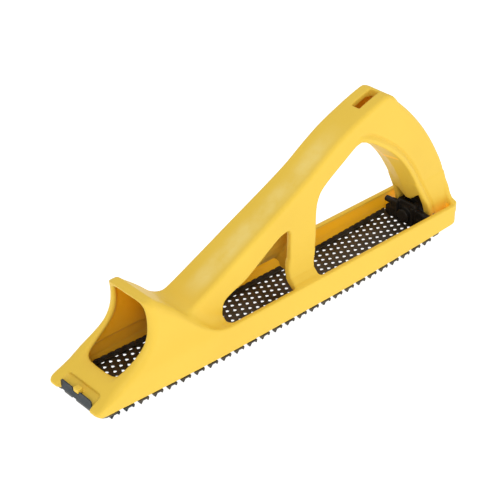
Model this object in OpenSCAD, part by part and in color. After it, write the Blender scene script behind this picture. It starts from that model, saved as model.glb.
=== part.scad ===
// Wood rasp with a moulded body: a perforated blade stretched under a one-piece
// body with a finger pocket at the nose, an arched handle and a tension screw in the heel.
// +X runs from the nose to the heel, +Z up, tooth tips of the lowest row on z = 0.

/* [Blade] */
// Length of the blade between its two turned-up ends
blade_l = 250; // [230:1:270]
// Width of the blade across its side flanges
blade_w = 38.8; // [38:0.2:39]
// Thickness of the blade sheet
sheet_t = 0.6; // [0.5:0.05:0.8]
// Depth of a tooth below the sheet
tooth_h = 1.9; // [1.4:0.1:2.4]
// Reach of the edge teeth beyond the side flanges
edge_reach = 1.8; // [1.5:0.1:2]
// Distance between teeth along a row
tooth_pitch = 9.14; // [8:0.02:10]
// Rise of the two ends of the blade above its middle
sole_bow = 3.06; // [2:0.02:4]
// Half length of the flat middle of the sole, on which the rasp stands still
sole_flat = 42; // [36:1:50]

/* [Body] */
// Width of the body across its two rails
body_w = 43; // [43:0.2:46]
// Height of the body's crest above the tooth tips
body_h = 103.6; // [95:0.2:112]
// Wall thickness of the moulding
wall = 3.2; // [2.8:0.1:3.4]
// Height of the two rails beside the windows
rail_z = 19; // [18:0.2:20]
// Width of the handle at the crest
handle_w = 21.2; // [20:0.2:23]
// Width of the handle where it leaves the nose
handle_root_w = 25; // [24:0.2:27]

/* [Blade tension] */
// Diameter of the tension screw
screw_d = 5; // [4:0.5:5]
// Diameter of the tension screw's knurled head
screw_head_d = 13.6; // [11:0.2:14]
// Travel of the clamp from tight to free
clamp_travel = 4; // [3:0.5:4]

/* [Hidden] */
$fn = 48;

// Scale of the side outlines, which are drawn for a 250 mm blade and a 103.6 mm crest
kx = blade_l / 250;
kz = body_h / 103.6;

// Length: front faces of the lugs, back face of the heel, and the end of the screw head
lug_x = -blade_l / 2 - 2.5;
heel_x = blade_l / 2 + 14;
washer_t = 1.2;
head_l = 6.8;
grooves = 12;
slot_w = 1.6;
slot_depth = 1.8;
screw_end_x = heel_x + washer_t + head_l;
middle_x = (lug_x + screw_end_x) / 2;

// Sheet: top and bottom of the blade at mid length, and how its rise towards the ends grows
sheet_bottom = tooth_h;
sheet_top = tooth_h + sheet_t;
bow_power = 1.3;
end_z = sheet_top + sole_bow;

// Rise of the bowed sole at a given distance from mid length
function bow(x) =
    sole_bow * pow(max(abs(x) - sole_flat, 0) / (blade_l / 2 - sole_flat), bow_power);

// Teeth: rows across the blade, teeth along a row, and the stagger from row to row
rows = 18;
row_gap = 2.143;
tooth_count = 26;
tooth_w = 3;
tooth_base = 1.5;
tooth_tip = 0.3;
hole_l = 1.9;
stagger = 0.6;
tooth_shift = -1.6;

// Edge teeth, from the nose end of each group: large tip, small tip, length of the group
large_tip = 1.3;
small_tip = 5.9;
small_lift = 0.5;
group_l = 6.4;
group_shift = -1.5;

flange_h = 3.4;
flange_end = 8;
flange_y = blade_w / 2;
tab_w = 25.6;
front_tab_h = 7.6;
rear_tab_h = 6;
front_notch_w = 5.4;
front_notch_z = end_z + 4.8;
rear_notch_w = 6.4;
rear_notch_z = end_z + 3.2;
keel_rise = 2;
nub_w = 4.2;

rail_y = body_w / 2;
inner_y = rail_y - wall;
sole_gap = 0.5;
flange_gap = 0.25;
screw_z = end_z + 6.6;
clear = 0.3;

// Clamp: its front face, and the face that pulls on the blade's rear tab
clamp_x = blade_l / 2 - sheet_t - 9;
claw_x = blade_l / 2 - sheet_t - 0.05;
tail_x = heel_x - 4.4;
rib_l = 2.4;
boss_l = 3.6;
boss_r = 4.2;
nut_af = 8;
nut_h = 4;
nut_x = clamp_x + 2;

// Handle half widths at its root and from mid handle to the heel
root_y = handle_root_w / 2;
grip_y = handle_w / 2;

// Point at share t between p1 and p2 of a smooth curve that comes from p0 and leaves for p3
function bend(p0, p1, p2, p3, t) =
    0.5 * (2 * p1 + (p2 - p0) * t + (2 * p0 - 5 * p1 + 4 * p2 - p3) * t * t
    + (3 * p1 - p0 - 3 * p2 + p3) * t * t * t);

// Smooth curve through a list of points
function smooth(pts, steps = 4) = [
    for (i = [0 : len(pts) - 2], k = [0 : steps - 1])
        bend(pts[max(i - 1, 0)], pts[i], pts[i + 1], pts[min(i + 2, len(pts) - 1)], k / steps),
    pts[len(pts) - 1]
];

// List of points from last to first
function reversed(pts) = [for (i = [len(pts) - 1 : -1 : 0]) pts[i]];

// Side outline points scaled to the blade's length and the body's height
function scaled(pts) = [for (p = pts) [p[0] * kx, p[1] * kz]];

// Points along the bowed sole from x1 to x2 at a height above the tooth-side of the sheet
function sole(x1, x2, z, steps = 16) =
    [for (k = [0 : steps]) let (x = x1 + (x2 - x1) * k / steps) [x, z + bow(x)]];

// Side outlines, from mid length of the blade: x towards the heel, z above the tooth tips
handle_top = scaled([[-66, 32], [-50, 38.6], [-13, 56.8], [12, 69], [28, 77.4], [41, 85.4],
    [54, 92.4], [70, 98.8], [82, 102.8]]);
crest = scaled([[82, 102.8], [86, 103.6], [90, 101.8], [94.5, 97.4]]);
arch_back = scaled([[94.5, 97.4], [106, 86], [117.5, 72], [127, 57.2], [134.6, 42], [138.4, 28]]);
nose_back = scaled([[-41, 19], [-49, 21.4], [-56, 27], [-64, 35.4], [-72, 43.6], [-80, 50.8],
    [-84, 54.6]]);
nose_front = scaled([[-89.6, 54.4], [-88.6, 46], [-89.2, 38], [-92.4, 31.4], [-99, 25.6],
    [-111, 18.4], [-124.6, 10.6]]);
small_window = scaled([[11, 50.6], [4, 49.2], [-8, 42.2], [-21, 34.6], [-31, 31.2], [-36.4, 28],
    [-38, 21]]);
big_window_front = scaled([[27, 22], [29.6, 28], [31.4, 36], [32, 52], [33.4, 60], [38, 66.6],
    [54, 76.8], [62, 81.6]]);
big_window_back = scaled([[66, 82.8], [74, 79.2], [86.2, 70.4], [95.6, 61.6], [102.8, 52.4],
    [109, 42], [113.6, 32.6], [118.8, 21.6], [121.2, 12.6]]);

// Outline in the XZ plane made solid between two values of y
module slab(points, y1, y2) {
    translate([0, y2, 0])
        rotate([90, 0, 0])
            linear_extrude(y2 - y1)
                polygon(points);
}

// Outline in the YZ plane made solid between two values of x
module cross_slab(points, x1, x2) {
    translate([x1, 0, 0])
        rotate([90, 0, 90])
            linear_extrude(x2 - x1)
                polygon(points);
}

// Everything is drawn from mid length of the blade and moved to the middle of the whole length
module placed() {
    translate([-middle_x, 0, 0])
        children();
}

// Rounded rectangle seen from above
module plan(x1, x2, y, r1, r2) {
    for (s = [-1, 1]) {
        translate([x1 + r1, s * (y - r1)]) circle(r1);
        translate([x2 - r2, s * (y - r2)]) circle(r2);
    }
    translate([x1 + r1, -y]) square([x2 - r2 - x1 - r1, 2 * y]);
    translate([x1, r1 - y]) square([x2 - x1 - r2, 2 * (y - r1)]);
    translate([x1 + r1, r2 - y]) square([x2 - x1 - r1, 2 * (y - r2)]);
}

// Cross-section of the nose: upright at the rails, drawn in towards the top
function nose_section(inset) = [
    [inset - rail_y, -1], [rail_y - inset, -1], [rail_y - inset, rail_z],
    [rail_y - 4.4 - inset, 57 * kz], [4.4 + inset - rail_y, 57 * kz], [inset - rail_y, rail_z]
];

// Full-width part: both rails, the heel and the nose, as one closed block
module tub_block() {
    intersection() {
        slab(concat(
            sole(lug_x + 3, heel_x - 3, sheet_top + sole_gap),
            [[heel_x, sheet_top + sole_gap + 6], [heel_x, rail_z]],
            smooth(nose_back), smooth(nose_front),
            [[lug_x, 9], [lug_x, sheet_top + sole_gap + 5]]),
            -rail_y, rail_y);
        linear_extrude(120) plan(lug_x, heel_x, rail_y, 4, 7);
        cross_slab(nose_section(0), lug_x - 1, heel_x + 1);
    }
}

// Hollow between the rails, and under the shell of the nose
module tub_hollow() {
    front_x = lug_x + 5.8;
    nose_roof = [for (p = smooth(nose_back)) p + [-1.8, -wall]];
    nose_inside = [for (p = smooth(nose_front)) p + [wall, -1.6]];
    intersection() {
        slab(concat([[front_x, -1], [heel_x - 3.4, -1], [heel_x - 3.4, rail_z - 4],
            [-36 * kx, rail_z - wall]], nose_roof, nose_inside, [[front_x, 8]]), -30, 30);
        linear_extrude(120) plan(front_x, heel_x - 3.4, inner_y, 2, 4);
        cross_slab(nose_section(wall), lug_x - 1, heel_x + 1);
    }
    translate([-38 * kx, 0, 0])
        linear_extrude(60)
            plan(0, heel_x - 3.4 + 38 * kx, inner_y, 3, 4);
    translate([-blade_l / 2 + 6, -flange_y - flange_gap, -1])
        cube([blade_l - 12, 2 * (flange_y + flange_gap), end_z + flange_h + 2]);
}

// Handle, strut and arch seen from the side
module grip_outline() {
    difference() {
        polygon(concat([[-70 * kx, 16], [-70 * kx, 30 * kz]], smooth(handle_top), smooth(crest),
            smooth(arch_back), [[heel_x, 22], [heel_x, 12.6], [8 * kx, 12.6], [8 * kx, 16]]));
        window_outlines();
    }
}

// The two windows under the handle seen from the side
module window_outlines() {
    polygon(concat([[8.6 * kx, 19], [8.6 * kx, 0], [-38 * kx, 0]],
        reversed(smooth(small_window)), [[12.4 * kx, 48 * kz], [11.6 * kx, 30 * kz]]));
    polygon(concat([[26 * kx, 0], [26 * kx, 17]], smooth(big_window_front),
        smooth(big_window_back), [[121.2 * kx, 0]]));
}

// Handle seen from above: wider where it leaves the nose
module grip_plan(inset) {
    polygon([[-80 * kx, inset - root_y - 0.8], [-50 * kx, inset - root_y], [30 * kx, inset - grip_y],
        [heel_x + 1, inset - grip_y], [heel_x + 1, grip_y - inset], [30 * kx, grip_y - inset],
        [-50 * kx, root_y - inset], [-80 * kx, root_y + 0.8 - inset]]);
}

// Handle, strut and arch as one closed beam
module grip_block() {
    intersection() {
        translate([0, 30, 0])
            rotate([90, 0, 0])
                linear_extrude(60)
                    grip_outline();
        linear_extrude(120) grip_plan(0);
    }
}

// Hollow inside the handle, open to the windows and to the finger pocket
module grip_hollow() {
    hollow_x = 86 * kx;
    intersection() {
        slab(concat([[-66 * kx, -1], [-66 * kx, 26 * kz]],
            [for (p = smooth(handle_top)) if (p[0] > -62 * kx && p[0] < hollow_x)
                p + [0.6, -wall - 0.4]],
            [[hollow_x + 2, 98 * kz], [hollow_x, 84 * kz], [66 * kx, 86.6 * kz], [60 * kx, 78 * kz],
             [35 * kx, 62 * kz], [28 * kx, 50 * kz], [15.4 * kx, 50 * kz], [15.4 * kx, 55 * kz],
             [10 * kx, 53.6 * kz], [7 * kx, 46 * kz], [-8 * kx, 36 * kz], [-34 * kx, 22],
             [-34 * kx, -1]]), -30, 30);
        linear_extrude(120) grip_plan(wall - 0.2);
    }
}

// Hollow inside the strut and its foot, open at the bottom and towards the small window
module strut_hollow() {
    leg_y = grip_y - wall;
    foot_y = inner_y - 2.5;
    half = [[foot_y, -1], [foot_y, rail_z - 3.4], [grip_y + 0.8, 19.4], [grip_y - 1.8, 24],
        [leg_y, 29], [leg_y, 60 * kz]];
    intersection() {
        cross_slab(concat(half, [for (p = reversed(half)) [-p[0], p[1]]]), 0, 30 * kx);
        slab([[4 * kx, -1], [4 * kx, 50.6 * kz], [28 * kx, 50.6 * kz], [28 * kx, 34],
            [23 * kx, 20], [23 * kx, -1]], -30, 30);
    }
}

// Hollow inside the foot of the arch, open at the bottom and towards the clamp
module arch_hollow() {
    leg_y = grip_y - wall;
    bay_y = grip_y - 1.2;
    back_x = heel_x - 3.4;
    slab([[124.4 * kx, -1], [124.4 * kx, 52 * kz], [127 * kx, 48 * kz], [131.4 * kx, 38 * kz],
        [134.4 * kx, 27 * kz], [back_x, 22], [back_x, -1]], -leg_y, leg_y);
    bay_x = clamp_x - clamp_travel - rib_l - 1;
    cross_slab([[-bay_y, -1], [bay_y, -1], [bay_y, 29.4], [0, 21.2], [-bay_y, 29.4]], bay_x, claw_x + 1);
}

// Foot of the strut, spreading from the handle's width to the rails
module strut_foot() {
    foot_z = rail_z - 3;
    flare = [[inner_y + 0.5, rail_z], [grip_y + 3, 22.6], [grip_y + 1, 26.5], [grip_y - 0.2, 31]];
    intersection() {
        cross_slab(concat([[-inner_y - 0.5, foot_z], [inner_y + 0.5, foot_z]], flare,
            [for (p = reversed(flare)) [-p[0], p[1]]]), 0, 40 * kx);
        slab([[8.6 * kx, 0], [8.6 * kx, 19], [11.4 * kx, 32], [30.4 * kx, 32], [29.6 * kx, 28],
            [27 * kx, 22], [26 * kx, 17], [26 * kx, 0]], -30, 30);
    }
}

// Foot of the arch, a little wider than the handle, and its web along the heel's back wall
module arch_foot() {
    foot_z = 12.6;
    leg = [[grip_y + 2.4, foot_z], [grip_y + 2.4, 20], [grip_y + 2, 23.5], [grip_y + 1, 28.5],
        [grip_y + 0.3, 33], [grip_y - 0.2, 37]];
    web = [[inner_y + 0.5, foot_z], [inner_y + 0.5, rail_z], [15.4, 20.6], [13.6, 23],
        [12.4, 26.5], [grip_y, 31]];
    intersection() {
        cross_slab(concat(leg, [for (p = reversed(leg)) [-p[0], p[1]]]), 105 * kx, heel_x);
        slab([[111.4 * kx, 37], [113.6 * kx, 32.6], [118.8 * kx, 21.6], [121.2 * kx, foot_z],
            [heel_x, foot_z], [heel_x, 22], [138.4 * kx, 28], [136 * kx, 37]], -30, 30);
    }
    intersection() {
        cross_slab(concat(web, [for (p = reversed(web)) [-p[0], p[1]]]), heel_x - 3.4, heel_x);
        slab([[heel_x - 5, foot_z], [heel_x, foot_z], [heel_x, 22], [138.4 * kx, 28],
            [137 * kx, 33], [heel_x - 5, 33]], -30, 30);
    }
}

// Keel on the inner face of the arch: a shallow ridge down its middle
module arch_keel() {
    path = [for (p = smooth(big_window_back, 2)) if (p[1] > 23 && p[1] < 80 * kz) p];
    last = len(path) - 1;
    side_y = grip_y - 1.2;
    polyhedron(
        [for (p = path, c = [[0, -side_y], [-keel_rise, 0], [0, side_y], [1.5, 0]])
            [p[0] + c[0], c[1], p[1]]],
        concat([[0, 1, 2, 3]], [[for (k = [3 : -1 : 0]) 4 * last + k]],
            [for (i = [0 : last - 1], k = [0 : 3])
                let (a = 4 * i + k, b = 4 * i + (k + 1) % 4) [a, a + 4, b + 4, b]]));
}

// Opening of the finger pocket, seen from the front
module pocket_opening() {
    half = [[0, 52], [9, 52], [12.2, 49.8], [13.4, 40], [14.6, 30], [14, 22], [11, 18], [0, 17.4]];
    other = [for (p = reversed(half)) if (p[0] > 0) [-p[0], p[1]]];
    rim = [for (p = concat(half, other, [half[0]])) [p[0], p[1] * kz]];
    cross_slab(smooth(rim), lug_x - 1, -84 * kx);
}

// Recess in the nose for the blade's front tab, with the nub that the tab's notch drops over
module tab_recess() {
    recess_y = tab_w / 2 + 0.8;
    difference() {
        slab([[lug_x - 1, -1], [lug_x + 3.6, -1], [lug_x + 3.6, 8.6 * kz], [-118.6 * kx, 11.4 * kz],
            [-120.2 * kx, 15 * kz], [lug_x - 1, 15 * kz]], -recess_y, recess_y);
        translate([lug_x + 1, -nub_w / 2, front_notch_z + 0.4])
            cube([4, nub_w, 2.6]);
    }
}

// Slot in the handle's top for hanging the rasp up
module hang_slot() {
    translate([79 * kx, 0, 92 * kz])
        cube([15.6, 6, 30], center = true);
}

// Passage of the tension screw through the heel's back wall
module screw_passage() {
    translate([heel_x - 12, 0, screw_z])
        rotate([0, 90, 0])
            cylinder(r = screw_d / 2 + 0.06, h = 14);
}

module body() {
    color("gold")
        placed()
            difference() {
                union() {
                    difference() {
                        tub_block();
                        tub_hollow();
                    }
                    grip_block();
                    strut_foot();
                    arch_foot();
                    arch_keel();
                }
                grip_hollow();
                strut_hollow();
                arch_hollow();
                pocket_opening();
                tab_recess();
                hang_slot();
                screw_passage();
            }
}

// Distance of tooth number i of row r from mid length of the blade
function tooth_x(r, i) =
    (i - (tooth_count - 1) / 2 + (r * stagger + 0.5) % 1 - 0.5) * tooth_pitch + tooth_shift;

// One row of cutting teeth, pointing down, their steep sides towards the heel
module tooth_row(r) {
    for (i = [0 : tooth_count - 1]) {
        x = tooth_x(r, i);
        root_z = sheet_bottom + bow(x) + 0.2;
        polygon([[x, root_z], [x, bow(x)], [x - tooth_tip, bow(x)], [x - tooth_base, root_z]]);
    }
}

// The holes beside the steep sides of one row of teeth
module hole_row(r) {
    for (i = [0 : tooth_count - 1])
        translate([tooth_x(r, i), 0])
            square([hole_l, 20]);
}

// Lip outside one flange, with a large and a small tooth in each pitch and a gap after them
module edge_teeth(side) {
    inner = flange_y - 0.2;
    outer = flange_y + edge_reach;
    for (i = [0 : tooth_count - 1]) {
        x = (i - tooth_count / 2) * tooth_pitch + group_shift;
        top_z = sheet_top + bow(x + group_l / 2);
        low_z = top_z - sheet_t;
        slab([[x, top_z], [x, low_z], [x + large_tip, bow(x)], [x + large_tip + tooth_base, low_z],
            [x + small_tip - tooth_base, low_z], [x + small_tip, bow(x) + small_lift],
            [x + group_l, low_z], [x + group_l, top_z]],
            side > 0 ? inner : -outer, side > 0 ? outer : -inner);
    }
}

// Flange along one side of the blade
module side_flange(side) {
    end_x = blade_l / 2 - flange_end;
    middle_y = side * (flange_y - sheet_t / 2);
    slab(concat(sole(-end_x, end_x, sheet_bottom), sole(end_x, -end_x, sheet_bottom + flange_h)),
        middle_y - sheet_t / 2, middle_y + sheet_t / 2);
}

// Every row's outline drawn by its child module, as wide as a tooth
module each_row() {
    for ($row = [0 : rows - 1])
        translate([0, ($row - (rows - 1) / 2) * row_gap + tooth_w / 2, 0])
            rotate([90, 0, 0])
                linear_extrude(tooth_w)
                    children();
}

module blade() {
    half_l = blade_l / 2;
    sheet_y = flange_y - sheet_t / 2;
    color("dimgray")
        placed()
            difference() {
                union() {
                    slab(concat(sole(-half_l, half_l, sheet_bottom), sole(half_l, -half_l, sheet_top)),
                        -sheet_y, sheet_y);
                    side_flange(-1);
                    side_flange(1);
                    edge_teeth(-1);
                    edge_teeth(1);
                    end_tab(-1, front_tab_h, front_notch_w, front_notch_z);
                    end_tab(1, rear_tab_h, rear_notch_w, rear_notch_z);
                    each_row() tooth_row($row);
                }
                each_row() hole_row($row);
            }
}

// Turned-up tab at one end of the blade, notched at the middle of its top edge
module end_tab(side, tab_h, notch_w, notch_z) {
    low_z = end_z - sheet_t;
    translate([side * (blade_l / 2 - sheet_t / 2) - sheet_t / 2, 0, 0])
        difference() {
            translate([0, -tab_w / 2, low_z])
                cube([sheet_t, tab_w, tab_h]);
            translate([-1, -notch_w / 2, notch_z])
                cube([sheet_t + 2, notch_w, 20]);
        }
}

// Cylinder along X between two values of x, on the tension screw's axis
module on_screw_axis(r, x1, x2) {
    translate([x1, 0, screw_z])
        rotate([0, 90, 0])
            cylinder(r = r, h = x2 - x1);
}

// Six-sided prism along X on the screw's axis, with two flats upright
module hexagon(across_flats, x1, x2) {
    translate([x1, 0, screw_z])
        rotate([0, 90, 0])
            cylinder(r = across_flats / sqrt(3), h = x2 - x1, $fn = 6);
}

// Block of the clamp, centred across the width
module clamp_block(x1, x2, half_w, low_z, top_z) {
    translate([x1, -half_w, low_z])
        cube([x2 - x1, 2 * half_w, top_z - low_z]);
}

// Solid parts of the clamp: foot, shoulder, tower, tail, ribs, side lugs and boss
module clamp_solid() {
    tower_y = grip_y - wall - 0.4;
    foot_y = 12.4;
    shoulder_y = 16.8;
    lug_wall_y = 13;
    front_l = 3.6;
    lug_y = 11.7;
    lug_l = 5.8;
    lug_z = 15.5;
    lug_r = 1.9;
    rib_y = 6;
    rib_w = 1.8;
    rib_h = 12.4;
    foot_z = end_z + clear;
    tail_z = end_z + rear_tab_h;
    skirt_x = blade_l / 2 + clamp_travel + 1;
    clamp_block(clamp_x, claw_x, foot_y, foot_z, screw_z);
    clamp_block(clamp_x, clamp_x + front_l, shoulder_y, foot_z, screw_z);
    clamp_block(clamp_x, clamp_x + front_l - 0.2, lug_wall_y, foot_z, lug_z + lug_r);
    clamp_block(clamp_x, claw_x - 0.4, tower_y, foot_z, lug_z + 5.1);
    clamp_block(clamp_x, tail_x, tower_y, tail_z, tail_z + 8.6);
    clamp_block(skirt_x, tail_x, tower_y, end_z + 1, end_z + 11);
    for (s = [-1, 1]) {
        translate([clamp_x - rib_l, s * rib_y - rib_w / 2, foot_z + 1])
            cube([rib_l + 0.2, rib_w, rib_h]);
        translate([clamp_x + front_l / 2 - 0.1, s > 0 ? lug_y : -lug_y - lug_l, lug_z])
            rotate([-90, 0, 0])
                cylinder(r = lug_r, h = lug_l);
    }
    on_screw_axis(boss_r, clamp_x - boss_l, clamp_x + 1);
}

module blade_clamp() {
    nut_gap = 0.1;
    boss_face = 1.4;
    color("black")
        placed()
            difference() {
                clamp_solid();
                on_screw_axis(screw_d / 2 + clear, clamp_x - boss_l + boss_face, tail_x + 1);
                translate([nut_x - nut_gap, -nut_af / 2 - nut_gap,
                    screw_z - nut_af / sqrt(3) - nut_gap])
                    cube([nut_h + 2 * nut_gap, nut_af + 2 * nut_gap, 30]);
            }
}

module tension_screw() {
    head_x = heel_x + washer_t;
    groove_r = 1.1;
    groove_out = 0.5;
    color("silver")
        placed()
            difference() {
                union() {
                    on_screw_axis(screw_d / 2, clamp_x - 1.6, head_x + 1);
                    on_screw_axis(screw_head_d / 2, head_x, head_x + head_l);
                }
                for (k = [0 : grooves - 1])
                    translate([head_x - 1, 0, screw_z])
                        rotate([k * 360 / grooves, 0, 0])
                            translate([0, 0, screw_head_d / 2 + groove_out])
                                rotate([0, 90, 0])
                                    cylinder(r = groove_r, h = head_l + 2);
                translate([screw_end_x - slot_depth, -slot_w / 2, screw_z - screw_head_d])
                    cube([slot_depth + 1, slot_w, 2 * screw_head_d]);
            }
}

module screw_washer() {
    color("silver")
        placed()
            difference() {
                on_screw_axis(screw_head_d / 2 + 0.4, heel_x, heel_x + washer_t);
                on_screw_axis(screw_d / 2 + 0.05, heel_x - 1, heel_x + washer_t + 1);
            }
}

module tension_nut() {
    color("silver")
        placed()
            difference() {
                hexagon(nut_af, nut_x, nut_x + nut_h);
                on_screw_axis(screw_d / 2 + 0.05, nut_x - 1, nut_x + nut_h + 1);
            }
}

body();
blade();
blade_clamp();
tension_screw();
screw_washer();
tension_nut();
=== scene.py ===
"""Wood rasp: the looks of every piece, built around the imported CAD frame."""
import math
from itertools import product

import bmesh
import bpy
import numpy as np
from mathutils import Matrix, Vector
from mathutils.geometry import delaunay_2d_cdt


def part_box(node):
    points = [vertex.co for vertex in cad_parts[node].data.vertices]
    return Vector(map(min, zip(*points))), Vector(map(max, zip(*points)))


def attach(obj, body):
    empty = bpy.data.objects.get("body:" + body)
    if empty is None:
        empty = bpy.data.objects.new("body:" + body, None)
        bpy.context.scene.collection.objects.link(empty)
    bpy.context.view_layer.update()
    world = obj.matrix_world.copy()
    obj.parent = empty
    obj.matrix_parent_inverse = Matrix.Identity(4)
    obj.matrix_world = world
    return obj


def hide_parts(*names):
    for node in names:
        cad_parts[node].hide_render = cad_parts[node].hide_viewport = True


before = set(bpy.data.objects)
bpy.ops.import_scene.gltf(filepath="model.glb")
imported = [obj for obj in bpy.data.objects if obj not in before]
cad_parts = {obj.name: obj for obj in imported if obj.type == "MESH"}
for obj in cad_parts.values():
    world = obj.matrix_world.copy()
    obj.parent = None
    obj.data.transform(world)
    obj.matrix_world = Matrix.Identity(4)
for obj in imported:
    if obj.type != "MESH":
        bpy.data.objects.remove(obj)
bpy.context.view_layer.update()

MM = 0.001

# Reference places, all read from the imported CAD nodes, in millimetres
blade_low, blade_high = (np.array(c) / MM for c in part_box("blade"))
body_low, body_high = (np.array(c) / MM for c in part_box("body"))
screw_low, screw_high = (np.array(c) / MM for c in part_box("tension_screw"))
clamp_low, clamp_high = (np.array(c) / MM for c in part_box("blade_clamp"))
washer_low, washer_high = (np.array(c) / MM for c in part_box("screw_washer"))
nut_low, nut_high = (np.array(c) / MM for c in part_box("tension_nut"))

MIDDLE_X = (blade_low[0] + blade_high[0]) / 2  # mid length of the blade, where all outlines start from
HALF_L = (blade_high[0] - blade_low[0]) / 2
LIP_Y = blade_high[1]
EDGE_Y = LIP_Y - 1.8  # outer faces of the blade's side flanges
LUG_X = body_low[0] - MIDDLE_X
HEEL_X = body_high[0] - MIDDLE_X
RAIL_Y = body_high[1]
CREST_Z = body_high[2]

# Sizes shared by several pieces, in millimetres
WALL = 3.2
RAIL_Z = 19.0
ROOT_Y = 12.5
GRIP_Y = 10.6
SHEET_T = 0.6
TOOTH_H = 1.9
BOW = 3.06
SOLE_FLAT = 42.0
SHEET_TOP = TOOTH_H + SHEET_T
END_Z = SHEET_TOP + BOW
TAB_W = 25.6
SCREW_Z = (screw_low[2] + screw_high[2]) / 2
INNER_Y = RAIL_Y - WALL  # inner faces of the rails
INNER_HEEL_X = HEEL_X - 3.4  # inner face of the heel's back wall
NOSE_LEAN = 4.4 / (57 - RAIL_Z)  # how far the nose's flanks lean in for each millimetre of height


# ---------------------------------------------------------------- helpers

def bow(x):
    """Rise of the sole towards its ends, at a distance from mid length."""
    share = np.maximum(np.abs(np.asarray(x, float)) - SOLE_FLAT, 0) / (HALF_L - SOLE_FLAT)
    return BOW * share ** 1.3


def smooth_line(points, steps=5):
    """Catmull-Rom curve through a list of points."""
    p = [np.array(q, float) for q in points]
    p = [p[0]] + p + [p[-1]]
    out = []
    for a, b, c, d in zip(p, p[1:], p[2:], p[3:]):
        for t in (k / steps for k in range(steps)):
            out.append(0.5 * (2 * b + (c - a) * t + (2 * a - 5 * b + 4 * c - d) * t * t
                              + (3 * b - a - 3 * c + d) * t ** 3))
    return [tuple(q) for q in out] + [tuple(points[-1])]


def to_object(name, points, faces, body):
    """Mesh object from points in blade-centred millimetres, riding on a CAD body."""
    mesh = bpy.data.meshes.new(name)
    verts = (np.asarray(points, float) + [MIDDLE_X, 0, 0]) * MM
    mesh.from_pydata(verts.tolist(), [], [list(map(int, f)) for f in faces])
    mesh.validate()
    mesh.update()
    mesh.shade_smooth()
    piece = bpy.data.objects.new(name, mesh)
    bpy.context.scene.collection.objects.link(piece)
    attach(piece, body)
    return piece


# ---------------------------------------------------------------- signed distance fields

def polygon(points, u, v):
    """Signed distance in a plane to a closed outline, negative inside."""
    corners = [tuple(map(float, p)) for p in points]
    shape = np.broadcast(u, v).shape
    best = np.full(shape, 1e12)
    inside = np.zeros(shape, bool)
    for (x1, y1), (x2, y2) in zip(corners, corners[1:] + corners[:1]):
        ex, ey = x2 - x1, y2 - y1
        length2 = ex * ex + ey * ey
        if length2 < 1e-12:
            continue
        t = np.clip(((u - x1) * ex + (v - y1) * ey) / length2, 0, 1)
        best = np.minimum(best, (u - x1 - t * ex) ** 2 + (v - y1 - t * ey) ** 2)
        if abs(ey) > 1e-9:
            inside ^= ((y1 > v) != (y2 > v)) & (u < ex * (v - y1) / ey + x1)
    return np.where(inside, -1.0, 1.0) * np.sqrt(best)


def meet(a, b, r):
    """Intersection of two fields with its edge rounded to radius r."""
    a, b = a + r, b + r
    return np.minimum(np.maximum(a, b), 0) + np.hypot(np.maximum(a, 0), np.maximum(b, 0)) - r


def cut(a, b, r):
    """Field a without b, the edge rounded to radius r."""
    return meet(a, -b, r)


def join(a, b, r):
    """Union of two fields with the inner corner filled to radius r."""
    return -meet(-a, -b, r)


def ramp(value, low, high):
    """Smooth step from 0 at low to 1 at high."""
    t = np.clip((value - low) / (high - low), 0, 1)
    return t * t * (3 - 2 * t)


def net(field, origin, step):
    """Closed quad mesh of field = 0, one point in each cell that the surface crosses."""
    inside = field < 0
    nx, ny, nz = (n - 1 for n in field.shape)
    count = np.zeros((nx, ny, nz), np.int8)
    for i, j, k in product((0, 1), repeat=3):
        count += inside[i:nx + i, j:ny + j, k:nz + k]
    active = (count > 0) & (count < 8)
    index = np.full((nx, ny, nz), -1, np.int64)
    cells = np.argwhere(active)
    index[active] = np.arange(len(cells))
    total = np.zeros((len(cells), 3))
    hits = np.zeros(len(cells))
    for axis in range(3):
        others = [a for a in range(3) if a != axis]
        for p, q in product((0, 1), repeat=2):
            corner = np.zeros(3, np.int64)
            corner[others[0]], corner[others[1]] = p, q
            a_at = cells + corner
            b_at = a_at.copy()
            b_at[:, axis] += 1
            a = field[tuple(a_at.T)]
            b = field[tuple(b_at.T)]
            crossed = (a < 0) != (b < 0)
            t = np.where(crossed, a / np.where(crossed, a - b, 1), 0)
            point = a_at.astype(float)
            point[:, axis] += t
            total += np.where(crossed[:, None], point, 0)
            hits += crossed
    points = origin + step * total / hits[:, None]
    quads = []
    for axis in range(3):
        o1, o2 = (axis + 1) % 3, (axis + 2) % 3
        low = [slice(1, n) for n in (nx, ny, nz)]
        low[axis] = slice(0, (nx, ny, nz)[axis])
        high = list(low)
        high[axis] = slice(1, (nx, ny, nz)[axis] + 1)
        first, second = inside[tuple(low)], inside[tuple(high)]
        start = np.array([0 if a == axis else 1 for a in range(3)])
        for sign, mask in ((1, first & ~second), (-1, ~first & second)):
            at = np.argwhere(mask) + start
            ring = []
            for p, q in ((0, 0), (1, 0), (1, 1), (0, 1)):
                cell = at.copy()
                cell[:, o1] -= p
                cell[:, o2] -= q
                ring.append(index[tuple(cell.T)])
            ring = np.stack(ring, 1)
            quads.append(ring if sign > 0 else ring[:, ::-1])
    return points, np.concatenate(quads)


# ---------------------------------------------------------------- body

GRID = 0.55

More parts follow.
